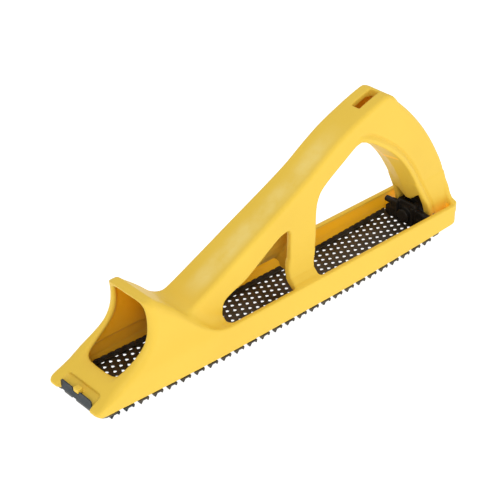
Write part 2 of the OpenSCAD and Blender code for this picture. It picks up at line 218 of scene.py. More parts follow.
HANDLE_TOP = [(-66, 32), (-50, 38.6), (-13, 56.8), (12, 69), (28, 77.4), (41, 85.4), (54, 92.4),
              (70, 98.8), (82, 102.8)]
CREST = [(82, 102.6), (86.4, 103.6), (91.2, 101.4), (95.2, 97)]
ARCH_BACK = [(94.5, 97.4), (106, 86), (117.5, 72), (127, 57.2), (134.6, 42), (138.4, 28)]
NOSE_BACK = [(-41, 19), (-49, 21.4), (-56, 27), (-64, 35.4), (-72, 43.6), (-80, 50.8), (-84, 54.6)]
NOSE_FRONT = [(-89.6, 54.4), (-88.6, 46), (-89.2, 38), (-92.4, 31.4), (-99, 25.6), (-111, 18.4),
              (-124.6, 10.6)]
SMALL_WINDOW = [(11, 50.6), (4, 49.2), (-8, 42.2), (-21, 34.6), (-31, 31.2), (-36.4, 28), (-38, 21)]
BIG_FRONT = [(27, 22), (29.6, 28), (31.4, 36), (32, 52), (33.4, 60), (38, 66.6), (54, 76.8),
             (62, 81.6)]
BIG_BACK = [(66, 82.8), (74, 79.2), (86.2, 70.4), (95.6, 61.6), (102.8, 52.4), (109, 42),
            (113.6, 32.6), (118.8, 21.6), (121.2, 12.6)]
POCKET_RIM = [(0, 52), (9, 52), (12.2, 49.8), (13.4, 40), (14.6, 30), (14, 22), (11, 18), (0, 17.4)]


def plan_field(x, y, x1, x2, half, r1, r2):
    """Rounded rectangle seen from above, with one corner radius at each end."""
    r = np.where(x < (x1 + x2) / 2, r1, r2)
    u = np.abs(x - (x1 + x2) / 2) - (x2 - x1) / 2 + r
    v = y - half + r
    return np.minimum(np.maximum(u, v), 0) + np.hypot(np.maximum(u, 0), np.maximum(v, 0)) - r


def grip_half_w(x):
    """Half width of the handle, which widens towards its root."""
    return np.interp(x, [-80, -50, 30, HEEL_X], [ROOT_Y + 0.8, ROOT_Y, GRIP_Y, GRIP_Y])


def tub_hollow(x, y, z, section):
    """Hollow between the rails and under the shell of the nose."""
    front_x = LUG_X + 5.8
    roof = [(a - 1.8, b - WALL) for a, b in smooth_line(NOSE_BACK)]
    inside_front = [(a + WALL, b - 1.6) for a, b in smooth_line(NOSE_FRONT)]
    side = polygon([(front_x, -1), (INNER_HEEL_X, -1), (INNER_HEEL_X, RAIL_Z - 4),
                    (-36, RAIL_Z - WALL)] + roof + inside_front + [(front_x, 8)], x, z)
    hollow = meet(side, plan_field(x, y, front_x, INNER_HEEL_X, INNER_Y, 2, 4), 1.2)
    hollow = meet(hollow, section + WALL + 0 * x, 2)
    between = meet(plan_field(x, y, -38, INNER_HEEL_X, INNER_Y, 3, 4), z - 60, 0.5)
    ends = np.abs(x) - HALF_L + 6
    seat = np.maximum(np.maximum(ends, y - EDGE_Y - 0.25), z - END_Z - 4.4)
    draft_y = np.interp(z, [9, RAIL_Z - 1], [EDGE_Y + 0.25, INNER_Y])
    draft = np.maximum(np.maximum(ends, y - draft_y), z - RAIL_Z + 1)
    draft = np.maximum(draft, np.where(x < -36, side, draft))
    return join(np.minimum(np.minimum(hollow, between), draft), seat, 0.3)


def body_field(x, y, z):
    """Signed distance of the moulded body, for y from the middle outwards."""
    sole_x = np.linspace(LUG_X + 3, HEEL_X - 3, 25)
    sole_z = SHEET_TOP + 0.5
    nose_back, nose_front = smooth_line(NOSE_BACK), smooth_line(NOSE_FRONT)
    side = polygon([(a, sole_z + float(bow(a))) for a in sole_x]
                   + [(HEEL_X, sole_z + 6), (HEEL_X, RAIL_Z)]
                   + nose_back + nose_front + [(LUG_X, 9), (LUG_X, sole_z + 4.5)], x, z)
    nose_w = RAIL_Y - NOSE_LEAN * np.maximum(z - RAIL_Z, 0)
    section = (y - nose_w) / math.hypot(1, NOSE_LEAN)
    nose_soft = 0.9 + 4.2 * ramp(z, RAIL_Z - 4, RAIL_Z + 12) * ramp(-x, 40, 60)
    front_soft = 0.9 + 3.6 * ramp(z, 8, 16) * ramp(-x, 55, 80)
    tub = meet(side, plan_field(x, y, LUG_X, HEEL_X, RAIL_Y, 4, 7), front_soft)
    tub = meet(tub, section + 0 * x, nose_soft)

    shell = cut(tub, tub_hollow(x, y, z, section), 0.7)

    small = polygon([(8.6, 19), (8.6, 0), (-38, 0)] + smooth_line(SMALL_WINDOW)[::-1]
                    + [(12.4, 48), (11.6, 30)], x, z)
    big = polygon([(26, 0), (26, 17)] + smooth_line(BIG_FRONT) + smooth_line(BIG_BACK)
                  + [(121.2, 0)], x, z)
    outline = polygon([(-70, 16), (-70, 30)] + smooth_line(HANDLE_TOP) + smooth_line(CREST)
                      + smooth_line(ARCH_BACK) + [(HEEL_X, 22), (HEEL_X, 12.6), (8, 12.6), (8, 16)],
                      x, z)
    half_w = grip_half_w(x)
    arch = ramp(x, 60, 72) * (1 - ramp(z, 84, 92))
    bead = 0.8 * ramp(3.2 - big, 0, 0.7) - 0.7 * ramp(big, 3.4, 4.2) * ramp(5.6 - big, 0, 0.8)
    half_w = half_w + bead * arch
    grip = meet(outline, y - half_w, 2.2)
    grip = cut(grip, small, 1.0)
    grip = cut(grip, big, 1.0)

    foot_side = polygon([(8.6, 0), (8.6, 19), (11.4, 32), (30.4, 32), (29.6, 28), (27, 22), (26, 17),
                         (26, 0)], x, z)
    foot_across = polygon([(-1, RAIL_Z - 3), (INNER_Y + 0.5, RAIL_Z - 3), (INNER_Y + 0.5, RAIL_Z),
                           (GRIP_Y + 3, 22.6), (GRIP_Y + 1, 26.5), (GRIP_Y - 0.2, 31), (-1, 31)],
                          y, z)
    foot = meet(foot_side, foot_across, 0.8)
    solid = join(join(shell, grip, 1.6 + 4.4 * ramp(-x, 30, 48)), foot, 2.0)
    solid = join(solid, arch_foot(x, y, z, bead * arch), 1.5)

    solid = join(solid, keel_field(x, y, z), 0.6)
    solid = cut(solid, grip_hollow(x, y, z, half_w), 0.8)

    rim = polygon(smooth_line(POCKET_RIM) + [(-6, 17.4), (-6, 52)], y, z)
    mouth = meet(rim, x + 84, 0.4)
    solid = cut(solid, mouth, 1.9)

    recess = polygon([(LUG_X - 9, -1), (LUG_X + 3.6, -1), (LUG_X + 3.6, 9), (-118.4, 12),
                      (-120.2, 15.9), (LUG_X - 9, 35)], x, z)
    recess = meet(recess, y - TAB_W / 2 - 0.8, 2.4)
    solid = cut(solid, recess, 0.9)
    nub = meet(meet(LUG_X + 2.4 - x, x - LUG_X - 6, 0.3),
               meet(y - 2.2, np.abs(z - END_Z - 6.4) - 1.5, 0.9), 0.25)
    solid = join(solid, nub, 0.9)
    slot = np.maximum(np.maximum(np.abs(x - 79) - 7.8, y - 3), 77 - z)
    solid = cut(solid, slot, 0.7)
    passage = np.hypot(y, z - SCREW_Z) - 2.56
    return np.maximum(solid, -np.maximum(passage, HEEL_X - 12 - x))


def arch_foot(x, y, z, bead):
    """Foot of the arch, a little wider than the handle, and its web along the heel's back wall."""
    low = 12.6
    leg = [(-1, low), (GRIP_Y + 2.4, low), (GRIP_Y + 2.4, 20), (GRIP_Y + 2, 23.5), (GRIP_Y + 1, 28.5),
           (GRIP_Y + 0.3, 33), (GRIP_Y - 0.4, 38), (-1, 38)]
    leg_side = polygon([(111.1, 38), (113.6, 32.6), (118.8, 21.6), (121.2, low), (HEEL_X, low),
                        (HEEL_X, 22), (138.4, 28), (135.8, 38)], x, z)
    leg = meet(leg_side, polygon(leg, y, z) - bead, 1.2)
    web = polygon([(-1, low), (INNER_Y + 0.5, low), (INNER_Y + 0.5, RAIL_Z), (15.4, 20.6),
                   (13.6, 23), (12.4, 26.5), (GRIP_Y, 31), (-1, 31)], y, z)
    web_side = polygon([(HEEL_X - 5, low), (HEEL_X, low), (HEEL_X, 22), (138.4, 28), (137, 33),
                        (HEEL_X - 5, 33)], x, z)
    web = meet(meet(web_side, web, 1.0), INNER_HEEL_X - x, 0.8)
    return join(leg, web, 1.5)


def keel_field(x, y, z):
    """Ridge down the inner face of the arch, ending in a chevron above the clamp."""
    line = np.array(smooth_line([p for p in BIG_BACK if p[1] > 20]))
    order = np.argsort(line[:, 1])
    face_x = np.interp(z, line[order, 1], line[order, 0])
    rise = 2.0 * np.clip(1 - y / (GRIP_Y - 1.2), 0, 1)
    ridge = (face_x - rise - x) * 0.8
    body = np.maximum(ridge, x - face_x - 1.5)
    body = np.maximum(body, y - GRIP_Y + 1.2)
    return np.maximum(body, np.maximum(23.5 - z, z - 80))


def grip_hollow(x, y, z, half_w):
    """Hollow inside the handle, the strut and the foot of the arch."""
    top = [(a + 0.6, b - WALL - 0.4) for a, b in smooth_line(HANDLE_TOP) if -62 < a < 86]
    handle = polygon([(-66, -1), (-66, 26)] + top
                     + [(88, 98), (86, 84), (66, 86.6), (60, 78), (35, 62), (28, 50), (15.4, 50),
                        (15.4, 55), (10, 53.6), (7, 46), (-8, 36), (-34, 22), (-34, -1)], x, z)
    handle = meet(handle, y - half_w + WALL - 0.2, 1.2)
    leg_y = GRIP_Y - WALL
    strut = polygon([(4, -1), (4, 50.6), (28, 50.6), (28, 34), (23, 20), (23, -1)], x, z)
    foot_y = INNER_Y - 2.5
    across = polygon([(-1, -1), (foot_y, -1), (foot_y, RAIL_Z - 3.4), (GRIP_Y + 0.8, 19.4),
                      (GRIP_Y - 1.8, 24), (leg_y, 29), (leg_y, 60), (-1, 60)], y, z)
    strut = meet(strut, across, 0.8)
    foot = polygon([(124.4, -1), (124.4, 52), (127, 48), (131.4, 38), (134.4, 27), (INNER_HEEL_X, 22),
                    (INNER_HEEL_X, -1)], x, z)
    foot = meet(foot, y - leg_y, 0.8)
    bay_y = GRIP_Y - 1.2
    bay = np.maximum(polygon([(-bay_y, -1), (bay_y, -1), (bay_y, 29.4), (0, 21.2), (-bay_y, 29.4)], y, z),
                     np.abs(x - 116.6) - 8.6)
    return np.minimum(np.minimum(handle, strut), np.minimum(foot, bay))


def inner_share(x, y, z):
    """1 on the walls of the hollows, 0 on the outside, for points on the surface: where the painted shade
    and the painted glow go.
    """
    nose_y = y - RAIL_Y + NOSE_LEAN * np.maximum(z - RAIL_Z, 0)
    half_w = grip_half_w(x)
    hollow = np.minimum(tub_hollow(x, y, z, nose_y / math.hypot(1, NOSE_LEAN)),
                        grip_hollow(x, y, z, half_w))
    nose = polygon([(LUG_X, -1), (HEEL_X, -1), (HEEL_X, RAIL_Z)] + smooth_line(NOSE_BACK)
                   + smooth_line(NOSE_FRONT), x, z)
    handle = polygon([(-70, 16)] + smooth_line(HANDLE_TOP) + smooth_line(CREST)
                     + smooth_line(ARCH_BACK) + [(HEEL_X, 12)], x, z)
    depth = -np.minimum(np.maximum(nose, nose_y), np.maximum(handle, y - half_w))
    return (ramp(0.9 - np.abs(hollow), 0, 0.6) * ramp(depth, 1, 2.2)).astype(np.float32)


def rubbed_share(points):
    """1 along the middle of the handle's top, where hands have rubbed it paler."""
    x, y, z = points.T
    top = np.array(smooth_line(HANDLE_TOP))
    on_top = ramp(z - np.interp(x, top[:, 0], top[:, 1]) + 1.6, 0, 1.4)
    along = ramp(x, -58, -40) * (1 - ramp(x, 34, 62))
    return on_top * along * (1 - ramp(np.abs(y + 2.5), 2, 8.5))


def make_body():
    """The moulded body as one smooth shell."""
    margin = 2 * GRID
    xs = np.arange(LUG_X - margin, HEEL_X + margin + GRID, GRID)
    ys = np.arange(0, RAIL_Y + margin + GRID, GRID)
    zs = np.arange(0.5, CREST_Z + margin + GRID, GRID)
    field = body_field(xs[:, None, None], ys[None, :, None], zs[None, None, :])
    field = np.concatenate([field[:, :0:-1], field], 1).astype(np.float32)
    points, quads = net(field, np.array([xs[0], -ys[-1], zs[0]]), GRID)
    piece = to_object("moulded_body", points, quads, "body")
    # Painted shade and painted glow on the walls of the hollows: 'inside' deepens their colour to a
    # saturated orange, and the glow makes them give off light from the strut back, stronger above the rails
    # and gone under the crest.
    inside = inner_share(points[:, 0], np.abs(points[:, 1]), points[:, 2])
    painted_glow = inside * ramp(points[:, 0], -46, -34) * (1 + 2.4 * ramp(points[:, 2], 18, 23))
    painted_glow *= 1 - ramp(points[:, 2], 78, 84)
    rubbed = rubbed_share(points)
    for label, values in (("inside", inside), ("painted_glow", painted_glow), ("rubbed", rubbed)):
        piece.data.attributes.new(label, "FLOAT", "POINT").data.foreach_set(
            "value", values.astype(np.float32))
    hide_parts("body")
    return piece


# ---------------------------------------------------------------- clamp, screw, washer and nut


def field_piece(name, node, body, low, high, step, shape):
    """Piece meshed from the field shape(x, y, z), between two corners."""
    axes = [np.arange(a - 2 * step, b + 3 * step, step) for a, b in zip(low, high)]
    grid = shape(axes[0][:, None, None], axes[1][None, :, None], axes[2][None, None, :])
    points, quads = net(grid.astype(np.float32), np.array([a[0] for a in axes]), step)
    piece = to_object(name, points, quads, body)
    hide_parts(node)
    return piece


def block(x, y, z, x1, x2, half_w, z1, z2, r=0.5):
    """Rounded block centred across the width."""
    u = np.abs(x - (x1 + x2) / 2) - (x2 - x1) / 2 + r
    v = np.abs(y) - half_w + r
    w = np.abs(z - (z1 + z2) / 2) - (z2 - z1) / 2 + r
    outside = np.sqrt(np.maximum(u, 0) ** 2 + np.maximum(v, 0) ** 2 + np.maximum(w, 0) ** 2)
    return outside + np.minimum(np.maximum(np.maximum(u, v), w), 0) - r


def centred(corner):
    """Corner of a node's box, measured from mid length of the blade."""
    return corner - [MIDDLE_X, 0, 0]


def make_clamp():
    """Black clamp: foot, tower with two ribs, boss round the screw, side lugs and tail."""
    low, high = centred(clamp_low), centred(clamp_high)
    rib_l, boss_l, boss_r, lug_z, lug_r = 2.4, 3.6, 4.2, 15.5, 1.9
    face_x, claw_x, tail_x = low[0] + boss_l, HALF_L - 0.65, high[0]
    base, tower_y = END_Z + 0.3, GRIP_Y - WALL - 0.4

    def shape(x, y, z):
        solid = block(x, y, z, face_x, claw_x, 12.4, base, SCREW_Z, 0.6)
        solid = join(solid, block(x, y, z, face_x, face_x + 3.6, 16.8, base, SCREW_Z, 0.8), 0.8)
        solid = join(solid, block(x, y, z, face_x, face_x + 3.4, 13, base, lug_z + lug_r, 0.7), 0.8)
        solid = join(solid, block(x, y, z, face_x, claw_x - 0.4, tower_y, base, 20.6, 0.6), 0.6)
        solid = np.minimum(solid, block(x, y, z, face_x, tail_x, tower_y, END_Z + 6, END_Z + 14.6, 0.6))
        solid = np.minimum(solid, block(x, y, z, HALF_L + 5, tail_x, tower_y, END_Z + 1, END_Z + 11, 0.6))
        rib = block(x, np.abs(y) - 6, z, face_x - rib_l, face_x + 1, 0.9, base + 1, base + 13.4, 0.4)
        lug = meet(np.hypot(x - face_x - 1.7, z - lug_z) - lug_r, np.abs(np.abs(y) - 14.6) - 2.9, 0.4)
        boss = meet(np.hypot(y, z - SCREW_Z) - boss_r, np.abs(x - face_x + 1.3) - 2.3, 0.6)
        solid = join(join(join(solid, rib, 0.6), lug, 0.6), boss, 0.8)
        hole = np.maximum(np.hypot(y, z - SCREW_Z) - 2.8, face_x - 2.2 - x)
        pocket = np.maximum(np.maximum(np.abs(x - face_x - 4) - 2.1, np.abs(y) - 4.1), SCREW_Z - 4.75 - z)
        return cut(cut(solid, hole, 0.3), pocket, 0.3)
    return field_piece("black_clamp", "blade_clamp", "clamp", low, high, 0.34, shape)


def make_screw():
    """Tension screw: threaded shank and a knurled, slotted head."""
    low, high = centred(screw_low), centred(screw_high)
    head_r, shank_r, pitch, knurls = (screw_high[2] - screw_low[2]) / 2, 2.5, 1.0, 30
    head_x = centred(washer_high)[0]

    def shape(x, y, z):
        r = np.hypot(y, z - SCREW_Z)
        turn = np.arctan2(z - SCREW_Z, y) / (2 * math.pi)
        wave = np.abs(((x / pitch - turn) % 1) - 0.5) * 2
        shank = meet(r - shank_r + 0.42 * (1 - wave), np.maximum(low[0] - x, x - head_x - 1), 0.4)
        ridge = np.abs(((turn * knurls) % 1) - 0.5) * 2
        head = meet(r - head_r + 0.55 * ridge, np.maximum(head_x - x, x - high[0]), 0.9)
        slot = np.maximum(np.abs(y) - 0.8, high[0] - 1.8 - x)
        dish = np.maximum(r - head_r + 2.4, high[0] - 0.5 - x)
        return cut(cut(join(shank, head, 0.5), dish, 0.3), slot, 0.2)
    return field_piece("knurled_screw", "tension_screw", "screw", low, high, 0.2, shape)


def make_washer():
    """Flat washer under the screw's head."""
    low, high = centred(washer_low), centred(washer_high)
    outer, middle_x = (high[2] - low[2]) / 2, (low[0] + high[0]) / 2

    def shape(x, y, z):
        r = np.hypot(y, z - SCREW_Z)
        ring = meet(r - outer, np.abs(x - middle_x) - (high[0] - low[0]) / 2, 0.25)
        return cut(ring, r - 2.75, 0.15)
    return field_piece("flat_washer", "screw_washer", "screw", low, high, 0.16, shape)


def make_nut():
    """Hexagonal nut held in the clamp, its corners chamfered."""
    low, high = centred(nut_low), centred(nut_high)
    flats, middle_x, half_x = high[1], (low[0] + high[0]) / 2, (high[0] - low[0]) / 2

    def shape(x, y, z):
        up = np.abs(z - SCREW_Z)
        six = np.maximum(np.abs(y), np.abs(y) * 0.5 + up * math.sqrt(0.75)) - flats
        r = np.hypot(y, up)
        cone = (r + np.abs(x - middle_x) - half_x - flats - 0.3) * 0.7
        solid = np.maximum(meet(six, np.abs(x - middle_x) - half_x, 0.15), cone)
        return cut(solid, r - 2.55, 0.2)
    return field_piece("hexagon_nut", "tension_nut", "clamp", low, high, 0.2, shape)


# ---------------------------------------------------------------- blade

ROWS, ROW_GAP, PITCH, COUNT = 18, 2.143, 9.14, 26
STAGGER = 0.6  # share of a pitch that each row is moved on from the last
TOOTH_SHIFT = -1.6  # the whole pattern, towards the front
HOLE_L, HOLE_HALF_W, TOOTH_L = 1.4, 1.2, 1.4
FLANGE_TOP = TOOTH_H + 3.4


def bowed(points):
    """Points lifted by the bow of the sole."""
    points = np.array(points, float)
    points[:, 2] += bow(points[:, 0])
    return points


def tooth_places():
    """Where every tooth's cutting edge stands: x and y."""
    places = []
    for row in range(ROWS):
        shift = (row * STAGGER + 0.5) % 1 - 0.5
        for i in range(COUNT):
            x = (i - (COUNT - 1) / 2 + shift) * PITCH + TOOTH_SHIFT
            places.append((x, (row - (ROWS - 1) / 2) * ROW_GAP))
    return places


def tooth_ring(front=9, back=7):
    """Outline of a hole and the foot of its tooth: the hole's half first, then the tooth's."""
    ring = []
    for k in range(front):
        angle = math.pi / 2 + math.pi * k / (front - 1)
        ring.append((-HOLE_L * math.cos(angle) if 0 < k < front - 1 else 0.0,
                     HOLE_HALF_W * math.sin(angle)))
    for k in range(1, back - 1):
        angle = -math.pi / 2 + math.pi * k / (back - 1)
        ring.append((-TOOTH_L * math.cos(angle), HOLE_HALF_W * math.sin(angle)))
    return np.array(ring)


def tooth_shell(across=9, along=4):
    """One hooded tooth: outer and inner skins from the sheet down to the cutting edge at x = 0."""
    points, faces = [], []
    for skin in (0, 1):
        for i in range(across):
            v = -1 + 2 * i / (across - 1)
            reach = TOOTH_L * math.sqrt(max(1 - v * v, 0))
            crown = (1 - abs(v) ** 1.25)
            for j in range(along + 1):
                u = j / along
                fall = (1 - u) ** 1.35
                if skin == 0:
                    z = TOOTH_H - TOOTH_H * crown * fall
                else:
                    z = SHEET_TOP - (TOOTH_H + 0.15) * crown * fall - 0.02
                points.append((-reach * u, HOLE_HALF_W * v, z))
    side = across * (along + 1)
    for i in range(across - 1):
        for j in range(along):
            a = i * (along + 1) + j
            b = a + along + 1
            faces.append((a, a + 1, b + 1, b))
            faces.append((side + a, side + b, side + b + 1, side + a + 1))
        a = i * (along + 1)
        b = a + along + 1
        faces.append((a, b, side + b, side + a))
    return np.array(points), [f[::-1] for f in faces]


def plate(loops, extra, place):
    """Sheet between an outer loop and hole loops; place(points, side) gives its two skins in space."""
    flat, edges, spans = [], [], []
    for loop in loops:
        start = len(flat)
        flat += [tuple(p) for p in loop]
        spans.append((start, len(flat)))
        edges += [(start + k, start + (k + 1) % len(loop)) for k in range(len(loop))]
    flat += [tuple(p) for p in extra]
    coords, _, triangles, origin, _, _ = delaunay_2d_cdt([Vector(p) for p in flat], edges, [], 0, 1e-6)
    coords = np.array([tuple(c) for c in coords])
    where = {}
    for new, olds in enumerate(origin):
        for old in olds:
            where[old] = new
    triangles = np.array([t for t in triangles if len(t) == 3])
    middle = coords[triangles].mean(1)
    keep = np.zeros(len(middle), bool)
    for loop in loops:
        low, high = np.min(loop, 0), np.max(loop, 0)
        near = np.where((middle >= low).all(1) & (middle <= high).all(1))[0]
        if len(near):
            inside = polygon(loop, middle[near, 0], middle[near, 1]) < 0
            keep[near[inside]] ^= True
    triangles = triangles[keep]
    n = len(coords)
    points = np.concatenate([place(coords, 0), place(coords, 1)])
    faces = [tuple(t) for t in triangles] + [(t[0] + n, t[2] + n, t[1] + n) for t in triangles]
    for start, end in spans:
        for k in range(start, end):
            a, b = where[k], where[start + (k - start + 1) % (end - start)]
            faces.append((a, a + n, b + n, b))
    return points, faces


def sheet_part(places):
    """The perforated sheet itself."""
    half_l, side, wide = HALF_L - 1.8, EDGE_Y - 1.0, EDGE_Y + 1.2
    tab = TAB_W / 2
    half = [(-half_l, -tab), (-half_l, -tab - 0.6), (-HALF_L + 0.4, -tab - 0.8), (-HALF_L + 0.2, -wide + 4),
            (-HALF_L + 1.2, -wide + 1.2), (-HALF_L + 3.6, -wide), (-HALF_L + 7.6, -wide),
            (-HALF_L + 8, -side)]
    outline = list(half)
    outline += [(x, -side) for x in np.arange(-HALF_L + 14, HALF_L - 9, 6)]
    outline += [(-x, y) for x, y in half[::-1]]
    outline += [(-x, -y) for x, y in outline]
    ring = tooth_ring()
    loops = [outline] + [ring + p for p in places]

    def place(flat, skin):
        return bowed(np.column_stack([flat, np.full(len(flat), SHEET_TOP if skin == 0 else TOOTH_H)]))
    return plate(loops, [], place)


def sweep(section, xs, lift=None):
    """A closed cross-section in the YZ plane carried along the bowed sole."""
    n = len(section)
    points, faces = [], []
    for i, x in enumerate(xs):
        raised = lift(x) if lift else 0
        points += [(x, y, z + (raised if top else 0)) for y, z, top in section]
        if i:
            faces += [((i - 1) * n + k, (i - 1) * n + (k + 1) % n, i * n + (k + 1) % n, i * n + k)
                      for k in range(n)]
    faces += [tuple(range(n))[::-1], tuple(range((len(xs) - 1) * n, len(xs) * n))]
    return bowed(points), faces


def flange_part(side):
    """Rolled-up flange, its top edge scalloped where the punched pattern runs out over it."""
    outer, radius = EDGE_Y, 1.0
    inner = outer - SHEET_T
    section = [(outer - radius, TOOTH_H, 0)]
    for k in range(1, 5):
        angle = math.pi / 2 * k / 4
        section.append((outer - radius + radius * math.sin(angle),
                        TOOTH_H + radius - radius * math.cos(angle), 0))
    section += [(outer, FLANGE_TOP - 0.6, 1), (inner, FLANGE_TOP - 0.6, 1)]
    small = radius - SHEET_T
    for k in range(4, -1, -1):
        angle = math.pi / 2 * k / 4
        section.append((outer - radius + small * math.sin(angle),
                        SHEET_TOP + small - small * math.cos(angle), 0))
    section = [(side * y, z, top) for y, z, top in section]
    xs = np.arange(-HALF_L + 8, HALF_L - 7.9, PITCH / 10)
    points, faces = sweep(section, xs, lambda x: 0.6 * abs(math.sin(math.pi * x / (PITCH / 2))) ** 0.5)
    return points, faces if side > 0 else [f[::-1] for f in faces]


def edge_teeth_part(side):
    """The lip outside a flange: a large and a small tooth in each pitch, and a gap after them."""
    points, faces = [], []
    top, low = SHEET_TOP, TOOTH_H
    profile = [(0, top), (0, low), (0.25, low - 0.1), (1.1, 0.12), (1.3, 0), (1.5, 0.1), (2.6, low - 0.25),
               (3.1, low), (4.3, low), (4.6, low - 0.2), (5.6, 0.62), (5.85, 0.5), (6.0, 0.7),
               (6.4, low), (6.4, top)]
    n = len(profile)
    inner, outer = EDGE_Y - 0.25, LIP_Y
    for i in range(COUNT):
        x0 = (i - COUNT / 2) * PITCH - 1.5
        base = len(points)
        for y, trim in ((inner, 0), (outer - 0.2, 0), (outer, 0.18)):
            for x, z in profile:
                points.append((x0 + x, side * y, z + (trim if z < low else -trim * 0.5)))
        for layer in (0, 1):
            for k in range(n):
                a = base + layer * n + k
                b = base + layer * n + (k + 1) % n
                faces.append((a, b, b + n, a + n))
        faces.append(tuple(base + k for k in range(n))[::-1])
        faces.append(tuple(base + 2 * n + k for k in range(n)))
    return bowed(points), faces


def tab_part(end, height, notch_w, notch_depth):
    """Turned-up end tab with its bend, rounded corners and notch."""
    radius = 1.8
    arc = math.pi / 2 * (radius - SHEET_T / 2)
    length = arc + height - radius
    half, corner = TAB_W / 2, 1.6
    outline = [(-half, 0)]
    outline += [(-half, s) for s in np.linspace(0.4, arc, 6)] + [(-half, length - corner)]
    outline += [(-half + corner * (1 - math.cos(a)), length - corner + corner * math.sin(a))
                for a in np.linspace(0, math.pi / 2, 5)[1:]]
    w = notch_w / 2
    outline += [(-w - 0.6, length), (-w - 0.1, length - 0.5)]
    outline += [(-w * math.cos(a), length - notch_depth + 0.9 - 0.9 * math.sin(a))
                for a in np.linspace(0, math.pi / 2, 5)]
    outline += [(-y, s) for y, s in outline[::-1][1:]]
    inside = [(y, s) for s in np.linspace(0.4, arc, 6) for y in np.linspace(-half + 1.5, half - 1.5, 14)]

    def place(flat, skin):
        y, s = flat[:, 0], flat[:, 1]
        angle = np.clip(s / arc, 0, 1) * math.pi / 2
        r = radius - (SHEET_T if skin == 0 else 0)
        x = HALF_L - radius + r * np.sin(angle)
        z = TOOTH_H + radius - r * np.cos(angle) + np.maximum(s - arc, 0)
        return np.column_stack([end * x, y, z + BOW])
    return plate([outline], inside, place)


def front_lip():
    """Two short strips of the punched pattern that show below the bend of the front tab."""
    points, faces = [], []
    x, top, low = -HALF_L + 1.1, TOOTH_H + 0.1, TOOTH_H - 1.3
    for y1, y2 in ((-TAB_W / 2 + 0.6, 2.6), (5.2, TAB_W / 2 - 0.4)):
        base = len(points)
        points += [(x + a, y, z + BOW) for a in (0, SHEET_T) for y, z in
                   ((y1, top), (y2, top), (y2 - 0.4, low), (y1 + 0.4, low))]
        faces += [tuple(base + k for k in f) for f in ((0, 3, 2, 1), (4, 5, 6, 7), (0, 1, 5, 4),
                                                       (1, 2, 6, 5), (2, 3, 7, 6), (3, 0, 4, 7))]
    return points, faces


def make_blade():
    """Perforated blade: sheet, hooded teeth, flanges, edge teeth and end tabs."""
    places = tooth_places()
    parts = [sheet_part(places)]
    shell_points, shell_faces = tooth_shell()
    n = len(shell_points)
    teeth = np.concatenate([shell_points + [x, y, 0] for x, y in places])
    teeth_faces = [tuple(k * n + v for v in f) for k in range(len(places)) for f in shell_faces]
    parts.append((bowed(teeth), teeth_faces))
    for side in (-1, 1):
        parts += [flange_part(side), edge_teeth_part(side)]
    parts.append(tab_part(-1, 7.6, 5.4, 2.2))
    parts.append(tab_part(1, 6.0, 6.4, 2.2))
    parts.append(front_lip())
    points, faces = [], []
    for part_points, part_faces in parts:
        base = sum(len(p) for p in points)
        points.append(part_points)
        faces += [tuple(int(v) + base for v in f) for f in part_faces]
    piece = to_object("perforated_blade", np.concatenate(points), faces, "blade")
    mesh = piece.data
    work = bmesh.new()
    work.from_mesh(mesh)
    bmesh.ops.remove_doubles(work, verts=work.verts, dist=0.02 * MM)
    bmesh.ops.recalc_face_normals(work, faces=work.faces)
    work.to_mesh(mesh)
    work.free()
    mesh.set_sharp_from_angle(angle=math.radians(38))
    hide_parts("blade")
    return piece


# ---------------------------------------------------------------- materials

def new_material(name):
    """Material with a Principled shader, its nodes, and a coordinate in millimetres."""
    material = bpy.data.materials.new(name)
    material.use_nodes = True
    nodes, links = material.node_tree.nodes, material.node_tree.links
    shader = nodes["Principled BSDF"]
    coordinate = nodes.new("ShaderNodeTexCoord")
    scale = nodes.new("ShaderNodeVectorMath")
    scale.operation = "SCALE"
    scale.inputs["Scale"].default_value = 1 / MM
    links.new(coordinate.outputs["Object"], scale.inputs[0])
    return material, nodes, links, shader, scale.outputs[0]


def noise(nodes, links, where, size, detail=3.0, roughness=0.5):
    """Noise of a given feature size in millimetres."""
    node = nodes.new("ShaderNodeTexNoise")
    node.inputs["Scale"].default_value = 1 / size
    node.inputs["Detail"].default_value = detail
    node.inputs["Roughness"].default_value = roughness
    links.new(where, node.inputs["Vector"])
    return node.outputs["Fac"]


def colours(nodes, links, factor, stops):
    """Colour ramp through (position, linear colour) stops."""
    node = nodes.new("ShaderNodeValToRGB")
    node.color_ramp.elements.remove(node.color_ramp.elements[1])
    node.color_ramp.elements[0].position = stops[0][0]
    node.color_ramp.elements[0].color = (*stops[0][1], 1)
    for place, colour in stops[1:]:
        node.color_ramp.elements.new(place).color = (*colour, 1)
    links.new(factor, node.inputs["Fac"])
    return node.outputs["Color"]


def spread(nodes, links, factor, low, high, from_low=0.3, from_high=0.7):
    """A number between low and high that follows a factor."""
    node = nodes.new("ShaderNodeMapRange")
    node.inputs["From Min"].default_value = from_low
    node.inputs["From Max"].default_value = from_high
    node.inputs["To Min"].default_value = low
    node.inputs["To Max"].default_value = high
    links.new(factor, node.inputs["Value"])
    return node.outputs["Result"]


def bump(nodes, links, height, strength, distance, previous=None):
    """Bump node; distance in millimetres."""
    node = nodes.new("ShaderNodeBump")
    node.inputs["Strength"].default_value = strength
    node.inputs["Distance"].default_value = distance * MM
    links.new(height, node.inputs["Height"])
    if previous is not None:
        links.new(previous, node.inputs["Normal"])
    return node.outputs["Normal"]


def combine(nodes, links, first, second, operation):
    """Two numbers combined by a math node."""
    node = nodes.new("ShaderNodeMath")
    node.operation = operation
    links.new(first, node.inputs[0])
    links.new(second, node.inputs[1])
    return node.outputs[0]


